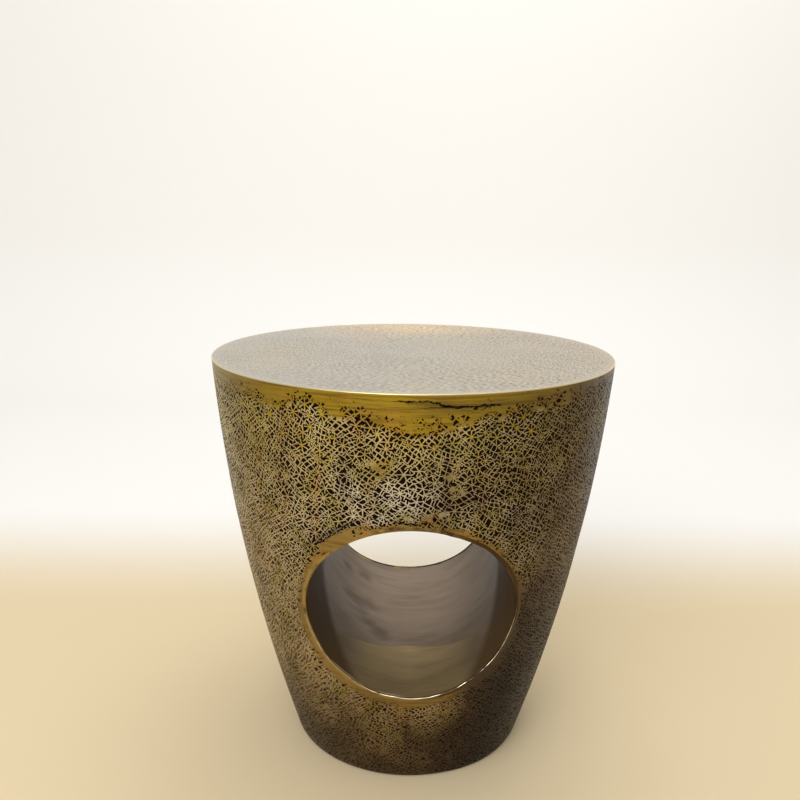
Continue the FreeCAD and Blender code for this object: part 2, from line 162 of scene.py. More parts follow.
def crease(places):
    """Where the sheet is creased at the upper left of the front opening: 1 in its middle, 0 elsewhere."""
    across = places[:, 0] / TUNNEL_HALF_WIDTH
    upward = (places[:, 2] - TUNNEL_LEVEL) / TUNNEL_HALF_HEIGHT
    from_middle = (np.degrees(np.arctan2(across, upward)) - CREASE_TURN) / CREASE_HALF_TURN
    return np.exp(-from_middle ** 2) * (places[:, 1] < 0)


def rubbed_bare(angle, level, places):
    """How far the etching is ground away: whole near the rim and the lips, with a ragged edge."""
    ragged = unevenness(places, 0.03, 1) + 0.6 * unevenness(places, 0.012, 2)
    rim_depth = RIM_BARE_DEPTH + RIM_RAGGEDNESS * ragged
    rim_depth += sum(spot(angle, level, **wear) for wear in RIM_WEAR)
    rim = 1 - smooth_step(TOP_LEVEL - level, rim_depth - 0.012, rim_depth + 0.020)
    clearance = tunnel_clearance(places[:, 0], level)
    under_opening = 0.004 * smooth_step(TUNNEL_LEVEL - level, 0.03, 0.09)
    lip = 1 - smooth_step(clearance + LIP_RAGGEDNESS * ragged - under_opening, *LIP_BARE_REACH)
    fold = 0.9 * crease(places) * (1 - smooth_step(clearance, *CREASE_BARE_REACH))
    over_opening = (0.25 + 0.2 * ragged) * spot(angle, level, **BARE_OVER_OPENING)
    patches = unevenness(places, 0.02, 14) + 0.7 * unevenness(places, 0.008, 15)
    patches = 0.25 * smooth_step(patches, 0.2, 0.9) * smooth_step(level, *BARE_PATCH_LEVELS)
    return np.maximum(np.maximum(rim, lip), fold + over_opening + patches)


def blackened_and_shaded(angle, level, places):
    """Black streaks and blotches, with painted shade low down, on the right and along the crease; past 1,
    the strokes are shaded too.
    """
    turn = np.degrees(angle)
    # Painted shade: darker toward the floor, on the right side up to the rear, and past 1 at the lower
    # right.
    foot = 0.95 * (1 - smooth_step(level, 0.0, SHADED_FOOT_HEIGHT))
    before_rear = 1 - smooth_step(turn, *RIGHT_END_TURNS)
    flanks = 0.3 * smooth_step(np.abs(turn), *DARKER_FLANK_TURNS)
    flanks += 0.2 * smooth_step(np.abs(turn), *DARKER_REAR_TURNS)
    flanks += 0.7 * smooth_step(turn, *SHADED_RIGHT_TURNS) * before_rear
    streaks = sum(spot(angle, level, **streak) for streak in BLACK_STREAKS)
    # Painted shade: a dark line along the crease above the front opening.
    beside_crease = tunnel_clearance(places[:, 0], level) - CREASE_SHADE_REACH
    streaks += 0.9 * crease(places) * np.exp(-(beside_crease / CREASE_SHADE_HALF_WIDTH) ** 2)
    blotches = 0.3 * unevenness(places, 0.045, 9)
    shaded_lower_right = smooth_step(turn, *SHADED_LOWER_RIGHT_TURNS) * before_rear * (1 - smooth_step(level, *SHADED_LOWER_RIGHT_LEVELS))
    return np.clip(foot + flanks + streaks + blotches, 0, 1) + shaded_lower_right


def faded(angle, level, places):
    """How far the gold of the strokes turns a pale straw colour, a painted reflection: most over the front
    opening.
    """
    return np.clip(spot(angle, level, **PALE_REFLECTION_PATCH) + 0.25 * unevenness(places, 0.05, 11), 0, 1)


def packed(angle, level):
    """How thickly the strokes stand: loose over the front opening, packed low down and on the flanks."""
    over_opening = 1 - smooth_step(np.abs(np.degrees(angle)), *LOOSE_TURNS)
    return 1 - smooth_step(level, *LOOSE_LEVELS) * over_opening


def wear_fields(angle, level, places):
    """Values that the etched finish reads from the mesh, point by point."""
    return {
        "bare": rubbed_bare(angle, level, places),
        "black": blackened_and_shaded(angle, level, places),
        "faded": faded(angle, level, places),
        "packed": packed(angle, level),
    }


def grid_faces(rows, columns, closed=False):
    """Quads of a grid of points, row by row; in a closed grid the last column joins the first."""
    faces = []
    for row in range(rows - 1):
        for column in range(columns if closed else columns - 1):
            beside = (column + 1) % columns
            faces.append((
                row * columns + column,
                row * columns + beside,
                (row + 1) * columns + beside,
                (row + 1) * columns + column,
            ))
    return faces


def new_piece(name, points, faces, node, pattern=None, fields=None):
    """A smooth mesh that rides on the body and stands in for a node of the CAD model."""
    mesh = bpy.data.meshes.new(name)
    mesh.from_pydata(points, [], faces)
    corners = np.empty(len(mesh.loops), dtype=np.int32)
    mesh.loops.foreach_get("vertex_index", corners)
    if pattern is not None:
        mesh.uv_layers.new(name="pattern").data.foreach_set("uv", pattern[corners].ravel())
    for field, values in (fields or {}).items():
        mesh.attributes.new(field, "FLOAT", "POINT").data.foreach_set("value", values)
    mesh.shade_smooth()
    piece = bpy.data.objects.new(name, mesh)
    bpy.context.collection.objects.link(piece)
    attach(piece, "root")
    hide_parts(node)
    return piece


def give_thickness(piece, thickness, crisp_angle=50):
    """Thickens a sheet on its inner side, with crisp edges, and paints that side as its second finish."""
    solidify = piece.modifiers.new("thickness", "SOLIDIFY")
    solidify.thickness = thickness
    solidify.offset = -1
    solidify.material_offset = 1
    thin_mesh = piece.data
    graph = bpy.context.evaluated_depsgraph_get()
    piece.data = bpy.data.meshes.new_from_object(piece.evaluated_get(graph), depsgraph=graph)
    piece.modifiers.clear()
    piece.data.name = piece.name
    piece.data.set_sharp_from_angle(angle=math.radians(crisp_angle))
    bpy.data.meshes.remove(thin_mesh)


side_angles, side_levels = np.meshgrid(
    np.linspace(-math.pi + SEAM_HALF_ANGLE, math.pi - SEAM_HALF_ANGLE, SIDE_COLUMNS + 1),
    np.linspace(BASE_LEVEL, SEAM_LEVEL, SIDE_ROWS + 1),
)
side_angles = side_angles.ravel()
side_levels = side_levels.ravel()
side_x = wall_radius(side_levels) * np.sin(side_angles)
in_opening = tunnel_clearance(side_x, side_levels) < 0
side_faces = [
    face
    for face in grid_faces(SIDE_ROWS + 1, SIDE_COLUMNS + 1)
    if not all(in_opening[corner] for corner in face)
]

# Corners that fall inside an opening move out to its edge.
stretch = np.where(in_opening, 1 / tunnel_share(side_x, side_levels), 1)
side_x = side_x * stretch
side_levels = TUNNEL_LEVEL + (side_levels - TUNNEL_LEVEL) * stretch
side_y = np.sqrt(np.maximum(wall_radius(side_levels) ** 2 - side_x ** 2, 0))
side_y *= np.where(np.cos(side_angles) >= 0, -1, 1)
side_angles = np.where(in_opening, np.arctan2(side_x, -side_y), side_angles)
side_places = np.stack([side_x, side_y, side_levels], axis=1)
hem = (1 - smooth_step(side_levels, BASE_LEVEL, BASE_LEVEL + HEM_HEIGHT)) * HEM_DEPTH
side_swell = SIDE_UNEVENNESS * unevenness(side_places, SIDE_WAVELENGTH, 0)
beside_opening = 1 - smooth_step(tunnel_clearance(side_x, side_levels), *CREASE_REACH)
side_swell += CREASE_HEIGHT * crease(side_places) * beside_opening
side_radii = wall_radius(side_levels) + side_swell - hem
side_points = np.stack(
    [side_radii * np.sin(side_angles), -side_radii * np.cos(side_angles), side_levels], axis=1
)
used = sorted({corner for face in side_faces for corner in face})
renumbered = {old: new for new, old in enumerate(used)}
side_fields = wear_fields(side_angles, side_levels, side_places)
side_sheet = new_piece(
    "side_sheet",
    side_points[used],
    [tuple(renumbered[corner] for corner in face) for face in side_faces],
    "body_shell",
    flat_pattern(side_angles, side_levels)[used],
    {name: values[used] for name, values in side_fields.items()},
)


class Shade:
    """A socket of a material, so that its shader maths is written as Python maths."""

    def __init__(self, socket):
        self.socket = socket

    def fill(self, values):
        """Sets or links the inputs of this socket's node, by name or number."""
        node = self.socket.node
        for name, value in values.items():
            if isinstance(value, Shade):
                node.id_data.links.new(value.socket, node.inputs[name])
            else:
                node.inputs[name].default_value = value

    def node(self, kind, settings, values, output=0):
        """Adds a node to the same material: its settings first, then its values and links."""
        node = self.socket.id_data.nodes.new(kind)
        for name, setting in settings.items():
            setattr(node, name, setting)
        made = Shade(node.outputs[output])
        made.fill(values)
        return made

    def output(self, name):
        """Another output of the node that this socket belongs to."""
        return Shade(self.socket.node.outputs[name])

    def math(self, operation, *operands):
        """One step of maths on numbers."""
        return self.node("ShaderNodeMath", {"operation": operation}, dict(enumerate(operands)))

    def __add__(self, other):
        return self.math("ADD", self, other)

    def __sub__(self, other):
        return self.math("SUBTRACT", self, other)

    def __rsub__(self, other):
        return self.math("SUBTRACT", other, self)

    def __mul__(self, other):
        return self.math("MULTIPLY", self, other)

    def __truediv__(self, other):
        return self.math("DIVIDE", self, other)

    def __abs__(self):
        return self.math("ABSOLUTE", self)

    __radd__ = __add__
    __rmul__ = __mul__

    def at_least(self, other):
        """The larger of two values."""
        return self.math("MAXIMUM", self, other)

    def vector_math(self, operation, *operands, output=0):
        """One step of maths on vectors."""
        settings = {"operation": operation}
        return self.node("ShaderNodeVectorMath", settings, dict(enumerate(operands)), output)

    def scaled(self, factors):
        """A place, stretched by a factor each way."""
        return self.vector_math("MULTIPLY", self, factors)

    def turned(self, angle):
        """A flat place, turned about the origin."""
        values = {"Vector": self, "Angle": angle}
        return self.node("ShaderNodeVectorRotate", {"rotation_type": "Z_AXIS"}, values)

    def parts(self):
        """The x, y and z values of a vector."""
        split = self.node("ShaderNodeSeparateXYZ", {}, {0: self})
        return split, split.output("Y"), split.output("Z")

    def step(self, low, high):
        """Rises softly from 0 at low to 1 at high."""
        settings = {"interpolation_type": "SMOOTHSTEP"}
        values = {"Value": self, "From Min": low, "From Max": high}
        return self.node("ShaderNodeMapRange", settings, values)

    def blend(self, first, second):
        """Colour that goes from the first to the second as this value goes from 0 to 1."""
        colors = {6: first, 7: second}
        for number, color in colors.items():
            if not isinstance(color, Shade):
                colors[number] = (*color, 1)
        return self.node("ShaderNodeMix", {"data_type": "RGBA"}, {0: self, **colors}, 2)

    def clouds(self, size, detail=2.0, output=0):
        """Soft random patches of about one size, from 0 to 1; this is the place they are taken at."""
        values = {"Vector": self, "Scale": 1 / size, "Detail": detail}
        return self.node("ShaderNodeTexNoise", {}, values, output)

    def cells(self, size, output, scatter=1.0):
        """Cells around points scattered over a flat place, with a random colour or the point of each."""
        values = {"Vector": self, "Scale": 1 / size, "Randomness": scatter}
        return self.node("ShaderNodeTexVoronoi", {"voronoi_dimensions": "2D"}, values, output)

    def bump(self, height):
        """Surface direction of a relief whose height is this value times a height in metres."""
        return self.node("ShaderNodeBump", {}, {"Strength": 1.0, "Distance": height, "Height": self})

    def piece_place(self):
        """The place in metres in the piece's own frame."""
        return self.node("ShaderNodeTexCoord", {}, {}, "Object")

    def field(self, name):
        """A value that the mesh keeps point by point."""
        return self.node("ShaderNodeAttribute", {"attribute_name": name}, {}, "Fac")


def new_finish(name):
    """A new material, given back as its surface shader's socket."""
    material = bpy.data.materials.new(name)
    material.use_nodes = True
    return Shade(material.node_tree.nodes["Principled BSDF"].outputs[0])


def apply_finish(surface, *pieces, **values):
    """Sets the surface's inputs and gives the material to pieces as their next finish."""
    surface.fill({name.replace("_", " "): value for name, value in values.items()})
    finish = next(
        material for material in bpy.data.materials if material.node_tree == surface.socket.id_data
    )
    for piece in pieces:
        piece.data.materials.append(finish)


STAR_SPACING = 15.0
STAR_SCATTER = 0.85
STAR_REACH = 4.5
STAR_REACH_SPREAD = 3
STAR_FEWEST_SPOKES = 6
STAR_SPOKES_SPREAD = 3
BENDS_PER_MM = 0.12
BEND_BREADTH = 2.4
PATCH_SIZE = 20.0
PATCH_HEADING = -0.7
PATCH_TURN = 1.35
PATCH_LEAN = 0.5
MARK_SIZE = 5.0
STROKE_HALF_WIDTH = 0.50
STROKE_SCATTER = 0.7
BARE_WIDENING = 0.5
DENSE_WIDENING = 0.6
PACKED_WIDENING = 0.18
BLACK_NARROWING = 0.2
DENSE_PATCH = 24
OLIVE_PATCH = 30
AMBER_STRETCH = (1 / 18, 1 / 60, 0)
RUBBING_STRETCH = (18, 18, 420)
GRAIN_SIZE = 1.2
LONG_STROKES = {"heading": 0.0, "length": 24, "spacing": 4.6}
CROSS_STROKES = {"heading": 1.35, "length": 6, "spacing": 4.8}
CRACKS = (
    {"middle": -0.7, "reach": 5.0, "level": 0.4550, "slope": 0.0, "half_width": 0.0008},
    {"middle": 6.0, "reach": 3.5, "level": 0.4520, "slope": -0.001, "half_width": 0.0011},
    {"middle": 14.5, "reach": 7.0, "level": 0.4492, "slope": 0.0001, "half_width": 0.0011},
    {"middle": -0.7, "reach": 2.2, "level": 0.3317, "slope": 0.0, "half_width": 0.0008},
    # The next entry is no crack: it draws a dark line of painted shade along the crease.
    {"middle": -21.0, "reach": 7.5, "level": 0.3155, "slope": 0.0029, "half_width": 0.0010},
)
SMUDGES = (
    {"middle": 2.0, "reach": 6.0, "level": 0.4525, "slope": -0.0003, "half_width": 0.0022},
    {"middle": 12.0, "reach": 6.0, "level": 0.4475, "slope": 0.0, "half_width": 0.0028},
)
UPPER_GOLD = (0.53, 0.40, 0.045)
STROKE_GOLD = (0.50, 0.40, 0.20)
STROKE_PALE = (0.73, 0.70, 0.60)
LOWER_GOLD = (0.44, 0.305, 0.12)
BARE_GOLD = (0.38, 0.275, 0.02)
BARE_BROWN = (0.21, 0.13, 0.018)
BARE_TAN = (0.33, 0.23, 0.075)
AMBER = (0.44, 0.25, 0.06)
OLIVE = (0.36, 0.32, 0.07)
DULL_BROWN = (0.082, 0.056, 0.031)
SOOT_AND_SHADE = (0.006, 0.0014, 0.0003)
GROUND_BROWN = (0.017, 0.0042, 0.0002)
LOWER_GOLD_LEVELS = (0.10, 0.26)
UPPER_GOLD_LEVELS = (0.32, 0.42)
BARE_GOLD_LEVELS = (0.34, 0.40)
CRACK_JAG_SIZE = 0.004
CRACK_JAG = 0.006
CRACK_BREAK_SIZE = 0.0025
ETCH_DEPTH = 0.0008


def star_strokes(place):
    """Distance in mm from the nearest stroke of scattered stars, and past that star's end."""
    star = place.cells(STAR_SPACING, "Position", STAR_SCATTER)
    from_star = place.vector_math("SUBTRACT", place, star)
    reach = place.vector_math("LENGTH", from_star, output="Value")
    x, y, _ = from_star.parts()
    turn, count, size = star.output("Color").parts()
    spokes = place.math("FLOOR", count * STAR_SPOKES_SPREAD + STAR_FEWEST_SPOKES)
    share = place.math("FRACT", place.math("ARCTAN2", y, x) * spokes / (2 * math.pi) + turn)
    from_spoke = abs(share - 0.5) * (2 * math.pi) / spokes
    past_end = reach - STAR_REACH - size * STAR_REACH_SPREAD
    return reach * from_spoke + past_end.step(0, 1) * STAR_SPACING, past_end


def slanted_strokes(place, heading, length, spacing):
    """Distance in mm from the nearest of scattered strokes that all run one way."""
    squeezed = place.turned(heading).scaled((1 / length, 1 / spacing, 0))
    middle = squeezed.cells(1.0, "Position", STROKE_SCATTER)
    _, across, _ = place.vector_math("SUBTRACT", squeezed, middle).parts()
    return abs(across) * spacing


def hatched_patches(place):
    """The same place, turned one way or the other by patches, so that each patch has its own hatching."""
    way, lean, _ = place.cells(PATCH_SIZE, "Color").parts()
    heading = place.math("ROUND", way) * PATCH_TURN + PATCH_HEADING + (lean - 0.5) * PATCH_LEAN
    return place.turned(heading)


def straw_pattern(place):
    """Distance in mm from the nearest stroke of the whole pattern, and past the nearest star's end."""
    bends = place.clouds(1 / BENDS_PER_MM, 1.0, "Color")
    bent = place.vector_math("MULTIPLY_ADD", bends, (BEND_BREADTH, BEND_BREADTH, 0), place)
    strokes, past_end = star_strokes(bent)
    within_star = 1 - past_end.step(-2.5, -1.5)
    hatching = hatched_patches(bent)
    for lines in (LONG_STROKES, CROSS_STROKES):
        hatch = slanted_strokes(hatching, **lines) + within_star * STAR_SPACING
        strokes = place.math("MINIMUM", strokes, hatch)
    return strokes, past_end


def crack(place, middle, reach, level, slope, half_width):
    """Thin jagged crack around the drum; its middle, reach and slope are by degrees from the front."""
    x, y, z = place.parts()
    along = place.math("ARCTAN2", x, y * -1) * math.degrees(1) - middle
    jag = (place.clouds(CRACK_JAG_SIZE, 4) - 0.5) * CRACK_JAG
    away = abs(z - along * slope - level + jag)
    fade = 1 - abs(along).step(reach * 0.6, reach)
    opened = fade * place.clouds(CRACK_BREAK_SIZE, 3).step(0.25, 0.6)
    return (half_width * opened - away).step(-half_width * 0.3, half_width * 0.3)


def stroke_color(place, level, pale):
    """Gold of the strokes: dull low down, straw in the middle and strong at the rim, with olive patches."""
    color = level.step(*LOWER_GOLD_LEVELS).blend(LOWER_GOLD, STROKE_GOLD)
    color = level.step(*UPPER_GOLD_LEVELS).blend(color, UPPER_GOLD)
    # Painted reflection: the strokes turn pale where the pale field is high.
    color = pale.blend(color, STROKE_PALE)
    return (place.clouds(OLIVE_PATCH, 3).step(0.48, 0.62) * 0.6).blend(color, OLIVE)


def bare_color(on_drum, level):
    """Metal that is rubbed bare: gold near the rim and tan below, with brown lines along the rubbing."""
    rubbing = on_drum.scaled(RUBBING_STRETCH).clouds(1, 4)
    color = level.step(*BARE_GOLD_LEVELS).blend(BARE_TAN, BARE_GOLD)
    return rubbing.step(0.4, 0.68).blend(color, BARE_BROWN)


def etched_brass(name, piece):
    """Etched straw pattern with bare strokes over a blackened ground."""
    surface = new_finish(name)
    place = surface.node("ShaderNodeUVMap", {"uv_map": "pattern"}, {})
    on_drum = surface.piece_place()
    _, _, level = on_drum.parts()
    bare, black, pale, thick = (surface.field(field) for field in ("bare", "black", "faded", "packed"))

    # Strokes are wider where the metal is rubbed bare, where they are packed and in dense patches, and
    # single marks are left of the etching where most of it is rubbed away.
    strokes, past_end = straw_pattern(place)
    half_width = STROKE_HALF_WIDTH + bare * BARE_WIDENING
    half_width = half_width + (place.clouds(DENSE_PATCH) - 0.5) * DENSE_WIDENING
    half_width = half_width + thick * PACKED_WIDENING - black * (1 - thick) * BLACK_NARROWING
    mark, _, _ = place.cells(MARK_SIZE, "Color").parts()
    left_marks = (mark * 0.9 + 0.12 - bare).step(0, 0.12)
    recess = (strokes - half_width).step(0, 0.1) * left_marks
    for line in CRACKS:
        recess = recess.at_least(crack(on_drum, **line))

    # The middle of a star keeps its gold and the strokes around it are paler, a painted highlight; the
    # painted reflection over the front opening pales them too. Black, painted shade and smudges lie over
    # all of them.
    for line in SMUDGES:
        black = black.at_least(crack(on_drum, **line) * 0.8)
    pale = (pale * (1 - thick)).at_least(past_end.step(-5, -2) * (0.42 - thick * 0.22))
    warmth = place.scaled(AMBER_STRETCH).clouds(1, 3).step(0.48, 0.72)
    # Black and painted shade dull the strokes to brown; past 1, painted shade darkens them toward the soot
    # colour.
    deep_shade = (black - 1).at_least(0.0)
    gold = bare.step(0.0, 0.4).blend(stroke_color(place, level, pale), bare_color(on_drum, level))
    gold = (warmth * 0.5).blend(gold, AMBER)
    gold = (black * (0.6 + thick * 0.33)).blend(gold, DULL_BROWN)
    gold = (deep_shade * 0.8).blend(gold, SOOT_AND_SHADE)
    ground = (thick * (1 - deep_shade)).blend(SOOT_AND_SHADE, GROUND_BROWN)
    grain = place.clouds(GRAIN_SIZE, 2)
    apply_finish(
        surface,
        piece,
        Base_Color=recess.blend(gold, ground),
        Metallic=1 - recess,
        Roughness=0.36 + grain * 0.14 + recess * 0.3,
        Specular_IOR_Level=0.05,
        Normal=(grain * 0.08 - recess).bump(ETCH_DEPTH),
        Coat_Weight=0.18 - recess * 0.18,
        Coat_Roughness=0.4,
    )


etched_brass("etched_brass", side_sheet)

RAW_SHEET = (0.16, 0.12, 0.07)
SCALE_BROWN = (0.07, 0.05, 0.04)


def raw_inside(name, piece):
    """Unfinished inner face of a sheet, dull and stained from rolling and welding."""
    surface = new_finish(name)
    place = surface.piece_place()
    stain = place.clouds(0.05, 4)
    apply_finish(
        surface,
        piece,
        Base_Color=stain.step(0.35, 0.7).blend(RAW_SHEET, SCALE_BROWN),
        Metallic=0.7,
        Roughness=0.5 + stain * 0.25,
        Normal=place.clouds(0.004, 3).bump(0.0003),
    )


raw_inside("raw_side_inside", side_sheet)
give_thickness(side_sheet, SHEET_THICKNESS)


# Base ring and bars: flat steel, cut to length and painted with dark primer. The ring keeps the bottom edge
# round and carries the pads; the three bars keep the top from sagging.
PRIMER = (0.05, 0.047, 0.044)
PRIMER_DUST = (0.10, 0.092, 0.082)


def cad_pieces(names):
    """Pieces of the CAD model that are seen as they are, with their plain materials taken off."""
    pieces = [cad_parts[name] for name in names]
    for piece in pieces:
        piece.data.materials.clear()
    return pieces


primer = new_finish("dark_primer")
primer_place = primer.piece_place()
primer_dust = primer_place.clouds(0.03, 4).step(0.45, 0.75)
apply_finish(
    primer,
    *cad_pieces(("base_ring", "top_cross_bar", "top_side_bar_front", "top_side_bar_rear")),
    Base_Color=primer_dust.blend(PRIMER, PRIMER_DUST),
    Roughness=0.5 + primer_dust * 0.25,
    Normal=primer_place.clouds(0.003, 2).bump(0.0002),
)


# Welds: steel beads and tacks inside the drum that join the side, the sleeve, the top, the ring and the
# bars. They are left as welded, so the heat has tinted them straw and blue.
WELD_STEEL = (0.30, 0.28, 0.26)
HEAT_TINT = (0.20, 0.13, 0.09)
HEAT_BLUE = (0.10, 0.12, 0.17)

weld = new_finish("welded_steel")
weld_place = weld.piece_place()
weld_heat = weld_place.clouds(0.012, 3)
weld_ripple = weld.node(
    "ShaderNodeTexWave",
    {"wave_type": "RINGS", "rings_direction": "SPHERICAL"},
    {"Vector": weld_place, "Scale": 120.0, "Distortion": 3.0},
)
weld_tint = weld_heat.step(0.3, 0.5).blend(WELD_STEEL, HEAT_TINT)
apply_finish(
    weld,
    *cad_pieces(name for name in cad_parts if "weld" in name or "tacks" in name),
    Base_Color=weld_heat.step(0.55, 0.75).blend(weld_tint, HEAT_BLUE),
    Metallic=0.9,
    Roughness=0.35 + weld_heat * 0.3,
    Normal=weld_ripple.bump(0.0004),
)


# Pads: four low discs of black rubber, stuck under the base ring so that the drum stands steady and does
# not scratch the floor.
RUBBER = (0.022, 0.022, 0.022)
RUBBER_BLOOM = (0.06, 0.058, 0.055)

rubber = new_finish("pad_rubber")
rubber_place = rubber.piece_place()
rubber_bloom = rubber_place.clouds(0.006, 3).step(0.5, 0.8)
apply_finish(
    rubber,
    *cad_pieces(("foot_pads",)),
    Base_Color=rubber_bloom.blend(RUBBER, RUBBER_BLOOM),
    Roughness=0.7 + rubber_bloom * 0.2,
    Normal=rubber_place.clouds(0.0008, 2).bump(0.0001),
)


# Tunnel sleeve: a second sheet as thick as the side, rolled to an oval tube, lightly hammered to shape and
# trimmed to the side at both ends. It is smooth and satin, with fine lines from rubbing it down around the
# tube; painted shade darkens its dents and the walls high up, a painted highlight runs below that shade,
# and a painted reflection brightens the floor near the front.
SLEEVE_COLUMNS = 240
SLEEVE_ROWS = 96
SLEEVE_RECESS = 0.0006
SLEEVE_END_GAP = 0.001
DENTS = (
    {"turn": -132, "along": 0.095},
    {"turn": -148, "along": 0.100},
    {"turn": -137, "along": 0.026},
    {"turn": -144, "along": 0.013},
    {"turn": -155, "along": 0.028},
    {"turn": -151, "along": -0.018},
    {"turn": -162, "along": -0.043},
)
DENT_HALF_TURN = 7
DENT_HALF_LENGTH = 0.018
DENT_DEPTH = 0.001
HAMMER_SIZE = 0.022
SATIN_LINE_STRETCH = (30, 700, 30)
SATIN_ARC_STRETCH = (14, 45, 14)
SHADE_EDGE_TURN = 102
SHADE_EDGE_TURN_PER_METRE = 275
SHADE_EDGE_LEAN_PER_METRE = 25
SHEEN_FLOOR_START = 0.055
SHEEN_FLOOR_LEAN = 0.0005
SLEEVE_TONE = (0.24, 0.178, 0.125)
SLEEVE_GOLD = (0.40, 0.29, 0.13)
SLEEVE_HIGHLIGHT = (0.24, 0.20, 0.185)
SLEEVE_BROWN_AND_SHADE = (0.06, 0.035, 0.017)
SLEEVE_WALL_SHADE = (0.082, 0.045, 0.012)


def oval_ring(turns, grow):
    """Places around the tunnel's oval, moved outward by an amount, as x and height."""
    x = (TUNNEL_HALF_WIDTH + grow) * np.sin(turns)
    level = TUNNEL_LEVEL + (TUNNEL_HALF_HEIGHT + grow) * np.cos(turns)
    return x, level


sleeve_turns = np.linspace(0, 2 * math.pi, SLEEVE_COLUMNS, endpoint=False)
sleeve_x, sleeve_levels = oval_ring(sleeve_turns, SLEEVE_RECESS)
sleeve_reach = np.sqrt(wall_radius(sleeve_levels) ** 2 - sleeve_x ** 2) - SLEEVE_END_GAP
sleeve_along = np.linspace(-1, 1, SLEEVE_ROWS)
sleeve_places = np.stack([
    np.tile(sleeve_x, SLEEVE_ROWS),
    np.outer(sleeve_along, sleeve_reach).ravel(),
    np.tile(sleeve_levels, SLEEVE_ROWS),
], axis=1)
sleeve_outward = np.stack([
    np.tile(np.sin(sleeve_turns), SLEEVE_ROWS),
    np.zeros(len(sleeve_places)),
    np.tile(np.cos(sleeve_turns), SLEEVE_ROWS),
], axis=1)
to_front = -sleeve_places[:, 1]
sleeve_turned = (np.degrees(np.tile(sleeve_turns, SLEEVE_ROWS)) + 180) % 360 - 180
from_top = np.abs(sleeve_turned)

hammered = 0.3 * np.maximum(unevenness(sleeve_places, HAMMER_SIZE, 3), 0)
for dent in DENTS:
    hammered += spot(
        np.radians(sleeve_turned),
        sleeve_places[:, 1],
        dent["turn"],
        dent["along"],
        DENT_HALF_TURN,
        DENT_HALF_LENGTH,
    )
hammered *= 0.8 + 0.8 * unevenness(sleeve_places, 0.015, 12)
edge_fade = 1 - smooth_step(np.abs(np.repeat(sleeve_along, SLEEVE_COLUMNS)), 0.94, 1.0)
# Painted shade high on the tunnel walls, with a softer painted shade fading outward from its edge.
past_shade_edge = from_top - SHADE_EDGE_TURN
past_shade_edge -= SHADE_EDGE_TURN_PER_METRE * np.maximum(to_front, 0)
past_shade_edge += SHADE_EDGE_LEAN_PER_METRE * sleeve_places[:, 0]
wall_shade = 1 - smooth_step(past_shade_edge, -4, 6)
wall_shade += 0.5 * (1 - smooth_step(past_shade_edge, 6, 65)) * (1 - wall_shade)
# A painted highlight in a narrow band just below the painted shade, away from the front.
wall_highlight = smooth_step(past_shade_edge, 0, 6) * (1 - smooth_step(past_shade_edge, 5, 20))
wall_highlight *= 1 - smooth_step(to_front, 0.0, 0.07)
# A painted reflection: a brighter, golder floor near the front.
past_sheen_edge = to_front - SHEEN_FLOOR_START - SHEEN_FLOOR_LEAN * (180 - from_top)
floor_sheen = smooth_step(past_sheen_edge, -0.004, 0.004) * smooth_step(from_top, 118, 158)
sleeve = new_piece(
    "sleeve",
    sleeve_places + sleeve_outward * (DENT_DEPTH * hammered * edge_fade)[:, None],
    [face[::-1] for face in grid_faces(SLEEVE_ROWS, SLEEVE_COLUMNS, closed=True)],
    "tunnel_sleeve",
    fields={"dent": hammered, "stain": wall_shade, "glow": wall_highlight, "worn": floor_sheen},
)

satin = new_finish("sleeve_satin")
satin_place = satin.piece_place()
satin_dent_shade, satin_wall_shade, satin_highlight, satin_sheen = (
    satin.field(field) for field in ("dent", "stain", "glow", "worn")
)
satin_lines = satin_place.scaled(SATIN_LINE_STRETCH).clouds(1, 2)
satin_arcs = satin_place.scaled(SATIN_ARC_STRETCH).clouds(1, 4).step(0.4, 0.75)
# Painted shade: a dark line along the edge of the floor's painted reflection.
sheen_edge_shade = satin_sheen.step(0.0, 0.5) - satin_sheen.step(0.5, 1.0)
satin_color = satin_highlight.blend(satin_sheen.blend(SLEEVE_TONE, SLEEVE_GOLD), SLEEVE_HIGHLIGHT)
# Darker rubbing arcs and lines, and painted shade in the dents and along the reflection's edge.
for satin_marks_and_shade in (
    satin_arcs * 0.3 + satin_lines.step(0.45, 0.7) * 0.15,
    satin_dent_shade.step(0.1, 1.0) * 0.45,
    sheen_edge_shade * 0.35,
):
    satin_color = satin_marks_and_shade.blend(satin_color, SLEEVE_BROWN_AND_SHADE)
apply_finish(
    satin,
    sleeve,
    Base_Color=satin_wall_shade.blend(satin_color, SLEEVE_WALL_SHADE),
    Metallic=1 - satin_wall_shade * 0.95,
    Specular_IOR_Level=0.04,
    Roughness=0.34 + satin_lines * 0.14 + satin_wall_shade * 0.1,
    Normal=satin_lines.bump(0.00004),
)
raw_inside("raw_sleeve_outside", sleeve)
give_thickness(sleeve, SHEET_THICKNESS)


